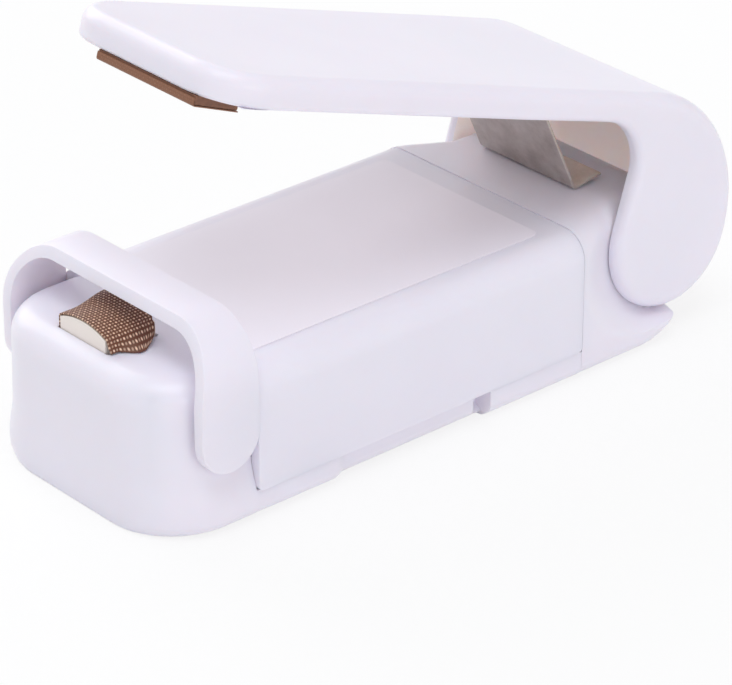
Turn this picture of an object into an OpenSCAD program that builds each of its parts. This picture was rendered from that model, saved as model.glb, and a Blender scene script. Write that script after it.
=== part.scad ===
// Mini bag sealer: a battery hand sealer with a sprung press lever and a hinged guard.
// +X runs from the nose to the hinge, +Z is up, and the origin is the middle of the
// footprint's box on the resting face. The lever is drawn open, the guard upright.

/* [Cells] */
// Diameter of one battery cell
cell_d = 14.5; // [13:0.1:16]
// Length of one battery cell over its button
cell_l = 50.5; // [44:0.5:56]
// Diameter of a cell's button
cell_button_d = 5.5; // [4:0.1:7]
// Height of a cell's button
cell_button_h = 1; // [0.6:0.1:1.6]
// Room beside each cell
cell_clear = 0.3; // [0.2:0.05:0.8]
// Room left for a contact spring at a cell's flat end
contact_room = 1.8; // [1.4:0.1:3]

/* [Housing] */
// Thickness of the housing's walls
wall = 1.6; // [1.2:0.1:2.2]
// Thickness of the bay's floor
floor_t = 1.7; // [1.2:0.1:3]
// Thickness of the bay's side walls
bay_wall = 1.3; // [0.8:0.1:1.6]
// Height of the bay's side walls above the floor
bay_wall_h = 9; // [4:0.5:12]
// Thickness of the walls at both ends of the bay
bulk_t = 1.2; // [1:0.1:1.6]
// Height of the base strip above the bay's floor
strip_lip = 0.6; // [0.4:0.1:2]
// Length of the nose, up to the cell bay
nose_l = 13.4; // [13.2:0.1:18]
// How far each side of the nose's top lies inside the cover's side
nose_inset = 2.05; // [1.5:0.05:2.5]
// How far each side of the foot lies inside the base strip's side, and the height of its slanted edge
foot_inset = 1; // [0.6:0.05:1.4]
// Radius of the nose's upright corners
nose_r = 9; // [8:0.1:10]
// Radius along the nose's top edge
nose_edge_r = 3; // [1.5:0.1:4]
// How far the nose's top lies below the cover's top
nose_drop = 0.3; // [0:0.05:1]
// Length over which the base strip widens behind the nose
flare_l = 4; // [1:0.5:6]
// How far the ledges below the ears end in front of the hinge
ledge_end = 1.2; // [1:0.1:4]
// Length of the rear block, from the bay to the middle of its round end
rear_l = 11; // [8:0.1:13]
// How far the scoop round an ear spreads before it meets the rear block's side
scoop_l = 4; // [2:0.1:6]
// Distance of the finger recess in the base strip behind the nose
finger_x = 13; // [5:0.5:15]
// Length of the finger recess
finger_l = 24; // [10:0.5:26]
// Length of the finger recess's slanted front for each unit of its depth
finger_slope = 4; // [1:0.1:5]
// Depth of the finger recess
finger_depth = 1.1; // [0.5:0.05:1.2]

/* [Bottom plate] */
// Thickness of the bottom plate
plate_t = 1.5; // [1.2:0.1:2.4]
// Radius of a bottom screw's shank
screw_r = 0.9; // [0.7:0.05:1.1]
// Radius of a bottom screw's head
screw_head_r = 1.7; // [1.4:0.05:1.85]
// Thickness of a bottom screw's head
screw_head_t = 0.8; // [0.5:0.05:0.9]
// How far a screw's boss sinks into the wall beside it
boss_sink = 0.3; // [0.2:0.05:0.4]
// Length of each slot of the cross in a bottom screw's head
screw_slot_l = 2; // [1.2:0.05:2.6]
// Width of each slot of the cross
screw_slot_w = 0.45; // [0.3:0.05:0.7]
// Length of a bottom screw's shank
screw_l = 5; // [3:0.1:6]
// Wall round a screw in its boss
screw_boss_wall = 1.5; // [1.3:0.1:1.8]

/* [Battery cover] */
// Thickness of the cover
cover_wall = 1.5; // [1:0.1:2]
// Room between the bay's side walls and the cover
skirt_gap = 0.9; // [0.5:0.05:1.5]
// Radius along the cover's long top edges
cover_edge_r = 3.5; // [2:0.1:5]
// How far each side of the cover stands out over the base strip
cover_overhang = 0.15; // [0.1:0.01:0.5]
// Room between a cell and the cover's top
head_room = 0.55; // [0.3:0.05:1.5]
// Length of the label film
label_l = 47; // [20:0.5:48]
// Width of the label film
label_w = 28.5; // [15:0.5:29]
// Thickness of the label film
label_t = 0.12; // [0.08:0.01:0.3]
// How far the label film lies behind the cover's front edge
label_x = 1.5; // [0.5:0.1:4]

/* [Lever] */
// Width of the lever across its ears
lever_w = 33.9; // [32:0.1:34.4]
// Width of the lever at its front end
lever_front_w = 31.2; // [28:0.1:32]
// Reach of the lever in front of its hinge
lever_reach = 80.3; // [74:0.1:82]
// Height of the lever's rim
rim_h = 3.85; // [3.2:0.05:5]
// Thickness of the lever's top wall
lever_top_t = 1.9; // [1.4:0.1:2.2]
// Thickness of the lever's ears and side rims
ear_t = 1.9; // [1.6:0.1:2.4]
// Radius of the ears' round ends
ear_r = 10; // [9:0.1:10.4]
// Height of the lever's rim above the hinge when the lever lies level
rim_rise = 14.4; // [13.6:0.1:16]
// Radius of the lever's upright front corners
lever_corner_r = 7.5; // [3:0.1:9]
// Radius along the lever's outer edges
lever_edge_r = 1.8; // [0.8:0.1:2]
// Radius of the hollow corner between rim and ear
ear_fillet_r = 7; // [4:0.1:9]
// How far the back wall reaches below the hinge
back_drop = 1.5; // [0:0.1:4]
// Angle at which the lever stands open
open_angle = 18.1; // [12:0.1:22]
// Distance of the hinge behind the cell bay
hinge_x = 17.7; // [16.8:0.1:18.5]
// Depth of the hinge below the body's top
hinge_drop = 6.35; // [5.8:0.05:7]
// Radius of a hinge pin
hinge_pin_r = 1.5; // [1:0.05:2]
// Length of a hinge pin inside the housing
hinge_pin_l = 4; // [2.5:0.1:5]
// Wall round a hinge pin in the housing
hinge_boss_wall = 3; // [1.5:0.1:3.5]

/* [Press pad] */
// Length of the press pad along the lever
pad_l = 7.6; // [5:0.1:9]
// Width of the press pad across the lever
pad_w = 17.5; // [12:0.1:20]
// How far the press pad lies off the lever's middle, towards -Y
pad_shift = 1.75; // [0:0.05:3]
// Thickness of the press pad
pad_t = 1.1; // [0.8:0.05:1.3]
// Thickness of the tape over the press pad
film_t = 0.15; // [0.1:0.01:0.25]
// Length of the tape's loose end behind the press pad
film_tail = 0.8; // [0.2:0.1:2]
// Angle at which the tape hangs down from the press pad's front edge
film_droop = 4.5; // [1:0.5:8]

/* [Leaf spring] */
// Width of the leaf spring
leaf_w = 17; // [10:0.1:22]
// Thickness of the leaf spring
leaf_t = 0.4; // [0.25:0.05:0.6]
// Length of the leaf spring's tab under the lever
leaf_tab = 8.5; // [6:0.1:12]
// Distance from the hinge forward to the leaf spring's upper bend, along the lever
leaf_bend_x = 23.3; // [20:0.1:26]
// Distance from the hinge forward to the leaf spring's crease on the rear block
leaf_crease_x = 9.8; // [8:0.1:10.5]
// Length of the leaf spring's foot
leaf_foot = 4.6; // [3:0.1:6]
// Angle at which the foot lifts off the rear block
leaf_lift = 8.5; // [4:0.5:14]
// Radius of a rivet's stem
rivet_r = 0.9; // [0.6:0.05:1.2]
// Radius of a rivet's head
rivet_head_r = 1.6; // [1.4:0.05:2]
// Thickness of a rivet's head
rivet_head_t = 0.5; // [0.3:0.05:0.8]
// Distance between the two rivets
rivet_gap = 9; // [5:0.1:12]

/* [Guard] */
// Width of the guard strap along the body
guard_w = 8.5; // [7:0.1:9]
// Thickness of the guard's arms
guard_t = 1.5; // [1.4:0.05:2]
// Thickness of the guard's cross bar
guard_bar_t = 1.45; // [1:0.05:1.8]
// How far the cross bar's front edge lies behind the arms' front edge
guard_setback = 3; // [0.5:0.1:3.5]
// Height of the guard above the body
guard_rise = 6.35; // [5.6:0.05:8]
// Outer radius of the guard's shoulders
guard_shoulder_r = 7.5; // [4:0.1:8]
// Depth of the guard's hinge below the body's top
guard_drop = 7.35; // [7.2:0.05:9]
// Radius of a guard pin
guard_pin_r = 1.5; // [1:0.05:2]
// Length of a guard pin inside the nose
guard_pin_l = 3.4; // [2.4:0.1:4]

/* [Heater] */
// Distance of the heater block behind the nose's front face
heater_x = 3.3; // [3:0.1:3.6]
// How far the heater lies off the nose's middle, towards +Y
heater_shift = 1; // [0:0.1:1.2]
// Length of the heater block along the body
heater_l = 7.4; // [7:0.1:8.2]
// Width of the heater block across the body
heater_w = 8.5; // [7:0.1:10]
// Height of the heater block's crown above its edges
heater_crown = 0.9; // [0.5:0.05:1.2]
// Height of the heater block's edges above the nose
heater_rise = 1.55; // [1.3:0.05:1.8]
// Width of the heater block's flange
flange_w = 15; // [14:0.1:15.4]
// Thickness of the heater block's flange
flange_t = 2.4; // [1.8:0.1:3]
// Thickness of the heating ribbon
ribbon_t = 0.15; // [0.1:0.01:0.2]
// Width of the heating ribbon
ribbon_w = 3; // [1.5:0.1:4]
// Thickness of the cloth over the heater
cloth_t = 0.2; // [0.12:0.01:0.3]
// How far a terminal clip reaches in under the heater block's head
clip_overlap = 0.6; // [0.4:0.05:1]
// How far the heater block can be pressed down
press_travel = 1.2; // [0.6:0.1:1.6]
// Thickness of the contact strips
strip_t = 0.4; // [0.25:0.05:0.5]
// Wire diameter of the plunger springs
plunger_wire = 0.4; // [0.3:0.05:0.5]
// Radius of the plunger springs at the middle of the wire
plunger_coil_r = 1.25; // [1.1:0.05:1.4]
// Turns of a plunger spring
plunger_turns = 6; // [4:1:7]
// Height of the seat below a plunger spring
plunger_seat_z = 9; // [7:0.1:10]
// Height of the guide inside a plunger spring
plunger_guide_h = 2; // [1:0.1:3]

/* [Cell contacts] */
// Width of a contact plate
contact_w = 8; // [7:0.1:10]
// Height of a contact plate
contact_h = 8; // [7:0.1:9]
// Wire diameter of a contact spring
contact_wire = 0.5; // [0.4:0.05:0.6]
// Radius of a contact spring's wide end at the middle of the wire
contact_big_r = 3.2; // [2.5:0.1:3.5]
// Radius of a contact spring's narrow end at the middle of the wire
contact_small_r = 1.5; // [1:0.1:2]
// Turns of a contact spring
contact_turns = 2; // [1:1:2]

/* [Clearances] */
// Gap between the fixed pieces that fit together
fit_gap = 0.1; // [0.05:0.01:0.15]
// Gap round the battery cover
cover_gap = 0.15; // [0.1:0.01:0.3]
// Gap beside a piece that turns
turn_gap = 0.25; // [0.2:0.01:0.3]
// Radial clearance of a pin that turns in its bore
pin_clear = 0.05; // [0.02:0.01:0.1]
// Radial clearance of a pin held in its seat
seat_clear = 0.02; // [0.01:0.01:0.05]
// Wall left behind the end of a blind seat
seat_skin = 0.8; // [0.5:0.05:1]

/* [Hidden] */
$fn = 64;
eps = 0.01;
big = 200;

// Heights of the cell bay
floor_z = plate_t + fit_gap + floor_t;
strip_z = floor_z + strip_lip;
cell_z = floor_z + fit_gap + cell_d / 2;
cell_y = (cell_d + cell_clear) / 2;
body_h = floor_z + fit_gap + cell_d + head_room + cover_wall;
nose_top = body_h - nose_drop;

// Half widths, worked out from the cells outwards
bay_half = cell_d + 1.5 * cell_clear;
cover_in_half = bay_half + bay_wall + skirt_gap;
cover_half = cover_in_half + cover_wall;
strip_half = cover_half - cover_overhang;
nose_half = cover_half - nose_inset;
foot_half = strip_half - foot_inset;
nose_draft = (foot_half - nose_half) / nose_top;
lever_half = lever_w / 2;
ear_in_half = lever_half - ear_t;
block_half = ear_in_half - turn_gap;
plate_half = nose_half - wall - fit_gap;

// Half width of the nose at a height, with the draft of its sides
function nose_half_at(z) = foot_half - nose_draft * z;

// Stations along the body, from the nose's front face
bay_l = cell_l + contact_room;
bay_end = nose_l + bay_l;
round_r = body_h / 2;
round_x = bay_end + rear_l;
pivot_x = bay_end + hinge_x;
pivot_z = body_h - hinge_drop;
scoop_r = ear_r + 2 * turn_gap;
rear_hollow_x = bay_end + bulk_t;
plate_x = wall + fit_gap;
plate_end = round_x - wall;

// Lever, measured from its hinge while it lies level
lever_top = rim_rise + rim_h;
lever_ceiling = lever_top - lever_top_t;
back_x = ear_r - lever_top;
rim_x = -ear_r - ear_fillet_r;
lever_draft = (lever_half - lever_front_w / 2) / (lever_reach + rim_x);
overall_l = pivot_x + back_x * cos(open_angle) + lever_top;

// Guard
guard_x = nose_l - guard_w / 2 - eps;
guard_z = body_h - guard_drop;
guard_top = body_h + guard_rise;
guard_low = guard_z - guard_w / 2;
guard_in_half = nose_half_at(guard_low) + turn_gap;
guard_half = guard_in_half + guard_t;
guard_pin_in = nose_half_at(guard_z) - guard_pin_l;
guard_pin_seat = guard_t - seat_skin;
ear_pin_seat = ear_t - seat_skin;

// Heater and its switch
heater_half = heater_w / 2;
heater_edge = nose_top + heater_rise;
flange_z = nose_top - wall - fit_gap;
flange_low = flange_z - flange_t;
crown_r = (heater_half * heater_half + heater_crown * heater_crown) / (2 * heater_crown);
crown_z = heater_edge + heater_crown - crown_r;
slot_half = heater_half + ribbon_t + cloth_t + turn_gap;
clip_low = flange_low - strip_t;
leaf_top = clip_low - press_travel - fit_gap;
leaf_low = leaf_top - strip_t;
clip_y = heater_half - clip_overlap;
clip_w = flange_w / 2 - clip_y - fit_gap;
plunger_x = heater_x + plunger_coil_r + plunger_wire / 2 + fit_gap;
plunger_y = flange_w / 2 - plunger_coil_r - plunger_wire / 2 - fit_gap;
clip_x = plunger_x + plunger_coil_r + plunger_wire / 2 + 2 * fit_gap;

// Plate that bridges both cells
bridge_w = cell_d + contact_w;

// Screws under the nose and under the rear block
screw_boss_r = screw_r + screw_boss_wall;
plate_r = nose_r - plate_x;
screw_reach = (nose_r - wall - screw_boss_r + boss_sink) / sqrt(2);
screw_front_x = nose_r - screw_reach;
screw_front_y = nose_half - nose_r + screw_reach;
screw_rear_x = rear_hollow_x + screw_boss_r - boss_sink;
screw_rear_y = block_half - wall - screw_boss_r + boss_sink;
screw_places = [
    [screw_front_x, screw_front_y],
    [screw_front_x, -screw_front_y],
    [screw_rear_x, screw_rear_y],
    [screw_rear_x, -screw_rear_y],
];
screw_seat = plate_t - screw_head_t;

// A point given in the level lever's own plane, carried to the open pose
function open_point(x, z) = [
    pivot_x + x * cos(open_angle) + z * sin(open_angle),
    pivot_z - x * sin(open_angle) + z * cos(open_angle),
];

// Leaf spring's bends, in the plane of symmetry
leaf_mid_z = lever_ceiling - leaf_t / 2;
leaf_path = [
    open_point(-leaf_bend_x - leaf_tab, leaf_mid_z),
    open_point(-leaf_bend_x, leaf_mid_z),
    [pivot_x - leaf_crease_x, body_h + leaf_t / 2 + fit_gap],
    [pivot_x - leaf_crease_x + leaf_foot * cos(leaf_lift),
     body_h + leaf_t / 2 + fit_gap + leaf_foot * sin(leaf_lift)],
];
rivet_x = leaf_bend_x + leaf_tab / 2;
rivet_seat = lever_top_t - seat_skin;

// Moves a piece drawn from the nose's front face to the part's origin
module in_frame() {
    translate([-overall_l / 2, 0, 0]) children();
}

// Places a piece drawn round the heater's own middle
module at_heater() {
    in_frame() translate([0, heater_shift, 0]) children();
}

// Places a piece drawn on the level lever
module on_lever() {
    translate([pivot_x, 0, pivot_z]) rotate([0, open_angle, 0]) children();
}

// Both mirror images of a piece drawn on the +Y side
module both_sides() {
    children();
    mirror([0, 1, 0]) children();
}

// Extrudes an outline drawn in X and Z across the body
module across(half) {
    translate([0, half, 0]) rotate([90, 0, 0]) linear_extrude(2 * half) children();
}

// Extrudes an outline drawn in Y and Z along the body
module along(x0, x1) {
    translate([x0, 0, 0]) rotate([90, 0, 90]) linear_extrude(x1 - x0) children();
}

// A block with two round upper corners, whose sides may lean inwards by a draft
module round_topped(half, low, high, r, draft = 0) {
    lean = atan(draft);
    arc_z = high - r;
    arc_y = half - draft * (arc_z - low) - r / cos(lean);
    side_y = arc_y + r * cos(lean);
    side_z = arc_z + r * sin(lean);
    polygon([
        [-half, low], [half, low], [side_y, side_z], [arc_y, arc_z], [arc_y, high],
        [-arc_y, high], [-arc_y, arc_z], [-side_y, side_z],
    ]);
    for (side = [-1, 1]) translate([side * arc_y, arc_z]) circle(r);
}

// The same block lying with its round corners to the front
module round_fronted(x0, x1, half, r) {
    rotate(90) round_topped(half, -x1, -x0, r);
}

// A round bar across the body
module cross_bar(r, y0, y1) {
    translate([0, y0, 0]) rotate([-90, 0, 0]) cylinder(r = r, h = y1 - y0);
}

// A straight strip between two points of an outline
module strip_run(a, b, t) {
    run = b - a;
    translate(a) rotate(atan2(run[1], run[0])) translate([0, -t / 2]) square([norm(run), t]);
}

// Rings of a coil whose radius may change along its length
function coil_rings(r0, r1, height, turns, wire, sides, steps) = [
    for (i = [0 : turns * steps])
        let (share = i / (turns * steps), a = 360 * i / steps, r = r0 + (r1 - r0) * share)
        [for (s = [0 : sides - 1])
            let (b = 360 * s / sides, reach = r + wire / 2 * cos(b))
            [reach * cos(a), reach * sin(a), height * share + wire / 2 * sin(b)]]
];

// A coil spring as one closed tube standing on Z = 0
module coil(r0, r1, height, turns, wire) {
    sides = 6;
    steps = 8;
    rings = coil_rings(r0, r1, height - wire, turns, wire, sides, steps);
    last = len(rings) - 1;
    points = [for (ring = rings) for (p = ring) p];
    walls = [
        for (i = [0 : last - 1]) for (s = [0 : sides - 1])
            let (n = (s + 1) % sides, a = i * sides, b = a + sides)
            each [[a + s, a + n, b + s], [a + n, b + n, b + s]]
    ];
    first_cap = [for (s = [1 : sides - 2]) [0, s + 1, s]];
    end = last * sides;
    last_cap = [for (s = [1 : sides - 2]) [end, end + s, end + s + 1]];
    translate([0, 0, wire / 2]) polyhedron(points, concat(walls, first_cap, last_cap));
}

// Side outline of the rear block, with its round end and the hinge knuckle
module rear_side(inset) {
    translate([bay_end + inset, inset]) square([rear_l - inset, body_h - 2 * inset]);
    translate([round_x, round_r]) circle(round_r - inset);
    translate([pivot_x, pivot_z]) circle(hinge_pin_r + hinge_boss_wall - inset);
}

// Section of the base, with a slanted edge along each side of its foot
module on_foot(half, high) {
    low = half - foot_inset;
    polygon([
        [-low, 0], [low, 0], [half, foot_inset], [half, high], [-half, high], [-half, foot_inset],
    ]);
}

// Plan of the base strip, widening behind the nose
module strip_plan() {
    front = nose_l - wall;
    wide = nose_l + flare_l;
    polygon([
        [front, -foot_half], [nose_l, -foot_half], [wide, -strip_half], [round_x, -strip_half],
        [round_x, strip_half], [wide, strip_half], [nose_l, foot_half], [front, foot_half],
    ]);
}

// Scoop round one ear: a cone about the hinge, carried upwards in front of the ear
module ear_scoop() {
    depth = cover_half - block_half + eps;
    front = pivot_x - scoop_r;
    back = pivot_x + scoop_r + scoop_l;
    translate([pivot_x, block_half, pivot_z]) rotate([-90, 0, 0])
        cylinder(r1 = scoop_r, r2 = scoop_r + scoop_l, h = depth);
    translate([0, block_half, pivot_z]) linear_extrude(body_h)
        polygon([[front, 0], [front - scoop_l, depth], [back, depth], [back, 0]]);
}

module housing_outside() {
    // Nose
    intersection() {
        linear_extrude(nose_top) round_fronted(0, nose_l, foot_half, nose_r);
        along(0, nose_l) round_topped(foot_half, 0, nose_top, nose_edge_r, nose_draft);
        across(strip_half) {
            translate([nose_edge_r, 0]) square([nose_l - nose_edge_r, nose_top]);
            square([nose_l, nose_top - nose_edge_r]);
            translate([nose_edge_r, nose_top - nose_edge_r]) circle(nose_edge_r);
        }
    }
    // Base strip below the cover
    intersection() {
        along(nose_l - wall, round_x) on_foot(strip_half, strip_z);
        linear_extrude(strip_z) strip_plan();
    }
    // Rear block, as wide as the cover up to the ledges below the ears
    across(block_half) rear_side(0);
    intersection() {
        along(bay_end, pivot_x - ledge_end) round_topped(cover_half, 0, body_h, cover_edge_r);
        along(bay_end, pivot_x - ledge_end) on_foot(cover_half, body_h);
        across(cover_half) rear_side(0);
    }
}

module housing_hollow() {
    // Nose
    translate([0, 0, -eps])
        linear_extrude(nose_top - wall + eps)
            round_fronted(wall, nose_l - bulk_t, nose_half - wall, nose_r - wall);
    // Cell bay
    translate([nose_l, -bay_half, floor_z]) cube([bay_l, 2 * bay_half, big]);
    // Rear block
    intersection() {
        across(block_half - wall) rear_side(wall);
        translate([rear_hollow_x, -big / 2, 0]) cube([big, big, body_h - wall]);
    }
    // Seat of the bottom plate
    translate([0, 0, -eps])
        linear_extrude(plate_t + fit_gap + eps)
            round_fronted(wall, plate_end + fit_gap, plate_half + fit_gap, nose_r - wall);
    // Scoops in which the ears turn
    both_sides() ear_scoop();
    // Finger recesses in the base strip, slanted at the front
    finger_in = finger_depth + foot_inset;
    difference() {
        both_sides() translate([nose_l + finger_x, strip_half, -eps]) linear_extrude(strip_z + 2 * eps)
            polygon([
                [0, eps], [finger_slope * finger_in, -finger_in],
                [finger_l, -finger_in], [finger_l, eps],
            ]);
        along(nose_l, bay_end) on_foot(strip_half - finger_depth, strip_z);
    }
}

module housing_inside() {
    both_sides() {
        // Side walls of the cell bay
        translate([nose_l - bulk_t, bay_half, floor_z - floor_t])
            cube([bay_l + 2 * bulk_t, bay_wall, floor_t + bay_wall_h]);
        // Bosses of the guard pins
        translate([guard_x, 0, guard_z])
            cross_bar(guard_pin_r + wall, guard_pin_in, nose_half - wall / 2);
        // Bosses of the hinge pins
        translate([pivot_x, 0, pivot_z])
            cross_bar(hinge_pin_r + hinge_boss_wall, block_half - hinge_pin_l, block_half);
    }
    for (place = screw_places)
        translate([place[0], place[1], plate_t + fit_gap])
            cylinder(r = screw_boss_r, h = screw_l);
}

module housing_cuts() {
    both_sides() {
        translate([guard_x, 0, guard_z])
            cross_bar(guard_pin_r + pin_clear, guard_pin_in - fit_gap, strip_half);
        translate([pivot_x, 0, pivot_z])
            cross_bar(hinge_pin_r + pin_clear, block_half - hinge_pin_l - fit_gap, block_half + eps);
        // Pocket of a front contact
        translate([nose_l - strip_t, cell_y - contact_w / 2 - fit_gap, cell_z - contact_h / 2 - fit_gap])
            cube([strip_t + eps, contact_w + 2 * fit_gap, contact_h + 2 * fit_gap]);
    }
    // Pocket of the bridge between the cells
    translate([bay_end - eps, -bridge_w / 2 - fit_gap, cell_z - contact_h / 2 - fit_gap])
        cube([strip_t + eps, bridge_w + 2 * fit_gap, contact_h + 2 * fit_gap]);
    translate([0, heater_shift, 0]) {
        // Slot of the heater block
        translate([heater_x - fit_gap, -slot_half, flange_z])
            cube([heater_l + 2 * fit_gap, 2 * slot_half, big]);
        // Slots through which the contact strips reach the switch
        both_sides() translate([nose_l - bulk_t - eps, clip_y - fit_gap, leaf_low - fit_gap])
            cube([bulk_t + 2 * eps, clip_w + 2 * fit_gap, strip_t + 2 * fit_gap]);
    }
    for (place = screw_places)
        translate([place[0], place[1], 0]) cylinder(r = screw_r + seat_clear, h = plate_t + screw_l);
}

module housing() {
    color("ghostwhite") in_frame() difference() {
        union() {
            difference() {
                housing_outside();
                housing_hollow();
            }
            housing_inside();
        }
        housing_cuts();
    }
}

module bottom_plate() {
    color("gainsboro") in_frame() difference() {
        union() {
            linear_extrude(plate_t)
                round_fronted(plate_x, plate_end, plate_half, plate_r);
            // Seats and guides of the plunger springs
            translate([0, heater_shift, 0]) both_sides() translate([plunger_x, plunger_y, 0]) {
                cylinder(r = plunger_coil_r + plunger_wire, h = plunger_seat_z);
                cylinder(r = plunger_coil_r - plunger_wire, h = plunger_seat_z + plunger_guide_h);
            }
        }
        for (place = screw_places) translate([place[0], place[1], 0]) {
            translate([0, 0, -eps]) cylinder(r = screw_r + fit_gap, h = plate_t + 2 * eps);
            translate([0, 0, -eps]) cylinder(r = screw_head_r + fit_gap, h = screw_head_t + 2 * eps);
        }
    }
}

module bottom_screws() {
    color("silver") in_frame() for (place = screw_places) translate([place[0], place[1], 0])
        difference() {
            union() {
                translate([0, 0, fit_gap]) cylinder(r = screw_head_r, h = screw_head_t - fit_gap);
                translate([0, 0, fit_gap]) cylinder(r = screw_r, h = screw_seat + screw_l - 2 * fit_gap);
            }
            // Cross recess of the driver
            for (turn = [0, 90]) rotate(turn)
                translate([-screw_slot_l / 2, -screw_slot_w / 2, 0])
                    cube([screw_slot_l, screw_slot_w, fit_gap + screw_head_t / 2]);
        }
}

module battery_cover() {
    low = strip_z + cover_gap;
    color("ghostwhite") in_frame() difference() {
        along(nose_l + cover_gap, bay_end - cover_gap)
            round_topped(cover_half, low, body_h, cover_edge_r);
        along(nose_l, bay_end)
            round_topped(cover_in_half, 0, body_h - cover_wall, cover_edge_r - cover_wall);
    }
}

module label_film() {
    color("whitesmoke") in_frame()
        translate([nose_l + cover_gap + label_x, -label_w / 2, body_h])
            cube([label_l, label_w, label_t]);
}

// One cell along +X with its button at the far end
module cell() {
    rotate([0, 90, 0]) {
        cylinder(d = cell_d, h = cell_l - cell_button_h);
        cylinder(d = cell_button_d, h = cell_l);
    }
}

module cell_left() {
    color("steelblue") in_frame()
        translate([nose_l + cell_l, cell_y, cell_z]) rotate(180) cell();
}

module cell_right() {
    color("steelblue") in_frame()
        translate([nose_l + contact_room, -cell_y, cell_z]) cell();
}

// Strip from the bay's front wall to the switch below one clip
module front_contact(shift) {
    translate([nose_l - strip_t, cell_y - contact_w / 2, cell_z - contact_h / 2])
        cube([strip_t, contact_w, contact_h]);
    translate([clip_x, clip_y + shift, leaf_low]) cube([nose_l - clip_x, clip_w, strip_t]);
}

module front_contact_positive() {
    color("goldenrod") in_frame() front_contact(heater_shift);
}

module front_contact_negative() {
    color("goldenrod") in_frame() mirror([0, 1, 0]) front_contact(-heater_shift);
}

module front_contact_spring() {
    color("silver") in_frame() translate([nose_l, -cell_y, cell_z]) rotate([0, 90, 0])
        coil(contact_big_r, contact_small_r, contact_room, contact_turns, contact_wire);
}

module rear_bridge_contact() {
    color("goldenrod") in_frame()
        translate([bay_end, -bridge_w / 2, cell_z - contact_h / 2])
            cube([strip_t, bridge_w, contact_h]);
}

module rear_contact_spring() {
    color("silver") in_frame() translate([bay_end, cell_y, cell_z]) rotate([0, -90, 0])
        coil(contact_big_r, contact_small_r, contact_room, contact_turns, contact_wire);
}

// Section of the heater's head, grown outwards by a covering
module heater_head(low, grow) {
    intersection() {
        translate([-heater_half - grow, low])
            square([2 * (heater_half + grow), heater_edge + heater_crown + grow - low]);
        union() {
            translate([0, crown_z]) circle(crown_r + grow, $fn = 128);
            translate([-heater_half - grow, low])
                square([2 * (heater_half + grow), heater_edge - low]);
        }
    }
}

module heater_block() {
    color("oldlace") at_heater() difference() {
        along(heater_x, heater_x + heater_l) {
            heater_head(flange_low, 0);
            translate([-flange_w / 2, flange_low]) square([flange_w, flange_t]);
        }
        // Notches for the ribbon's ends
        both_sides()
            translate([clip_x - fit_gap, heater_half, flange_low - eps])
                cube([ribbon_w + 2 * fit_gap, ribbon_t + fit_gap, flange_t + 2 * eps]);
    }
}

module heater_ribbon() {
    color("gray") at_heater() along(clip_x, clip_x + ribbon_w) difference() {
        heater_head(flange_low, ribbon_t);
        heater_head(flange_low - eps, 0);
    }
}

module heater_fabric() {
    low = flange_z + press_travel;
    color("saddlebrown") at_heater() along(heater_x + fit_gap, heater_x + heater_l - fit_gap)
        difference() {
            heater_head(low, ribbon_t + cloth_t);
            heater_head(low - eps, ribbon_t);
        }
}

module terminal_clips() {
    color("goldenrod") at_heater() both_sides()
        translate([clip_x, clip_y, clip_low]) cube([ribbon_w, clip_w, strip_t]);
}

module plunger_springs() {
    height = flange_low - plunger_seat_z;
    color("silver") at_heater() both_sides()
        translate([plunger_x, plunger_y, plunger_seat_z])
            coil(plunger_coil_r, plunger_coil_r, height, plunger_turns, plunger_wire);
}

// Side wall of the lever from its hinge axis out to a radius, with a round outer edge
module ear_disc(r) {
    rotate([-90, 0, 0]) rotate_extrude() difference() {
        translate([0, ear_in_half]) square([r, ear_t]);
        translate([r - lever_edge_r, lever_half - lever_edge_r]) difference() {
            square(lever_edge_r + eps);
            circle(lever_edge_r);
        }
    }
}

// The part of a piece that lies inside a box of the lever's plane
module kept(x0, x1, z0, z1) {
    intersection() {
        children();
        translate([x0, -big / 2, z0]) cube([x1 - x0, big, z1 - z0]);
    }
}

// Section of the lever's top plate with its two rims
module lever_section() {
    difference() {
        round_topped(lever_half, rim_rise, lever_top, lever_edge_r);
        translate([-ear_in_half, rim_rise - eps])
            square([2 * ear_in_half, rim_h - lever_top_t + eps]);
    }
}

// Round front corner of the lever's plate, with its round upper edge
module lever_corner() {
    rotate_extrude() {
        square([lever_corner_r, rim_h - lever_edge_r]);
        square([lever_corner_r - lever_edge_r, rim_h]);
        translate([lever_corner_r - lever_edge_r, rim_h - lever_edge_r]) circle(lever_edge_r);
    }
}

// Top plate in front of the ears, solid only where it carries the press pad
module lever_plate() {
    hollow_x = pad_l + ear_t - lever_reach;
    hollow_half = lever_half - lever_draft * (rim_x - hollow_x) - ear_t;
    difference() {
        hull($fn = 32) {
            both_sides() translate([
                lever_corner_r - lever_reach, lever_front_w / 2 - lever_corner_r, rim_rise,
            ]) lever_corner();
            along(rim_x - eps, rim_x) round_topped(lever_half, rim_rise, lever_top, lever_edge_r);
        }
        translate([0, 0, rim_rise - eps]) linear_extrude(rim_h - lever_top_t + eps) polygon([
            [hollow_x, -hollow_half], [hollow_x, hollow_half],
            [rim_x + eps, ear_in_half], [rim_x + eps, -ear_in_half],
        ]);
    }
}

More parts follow.
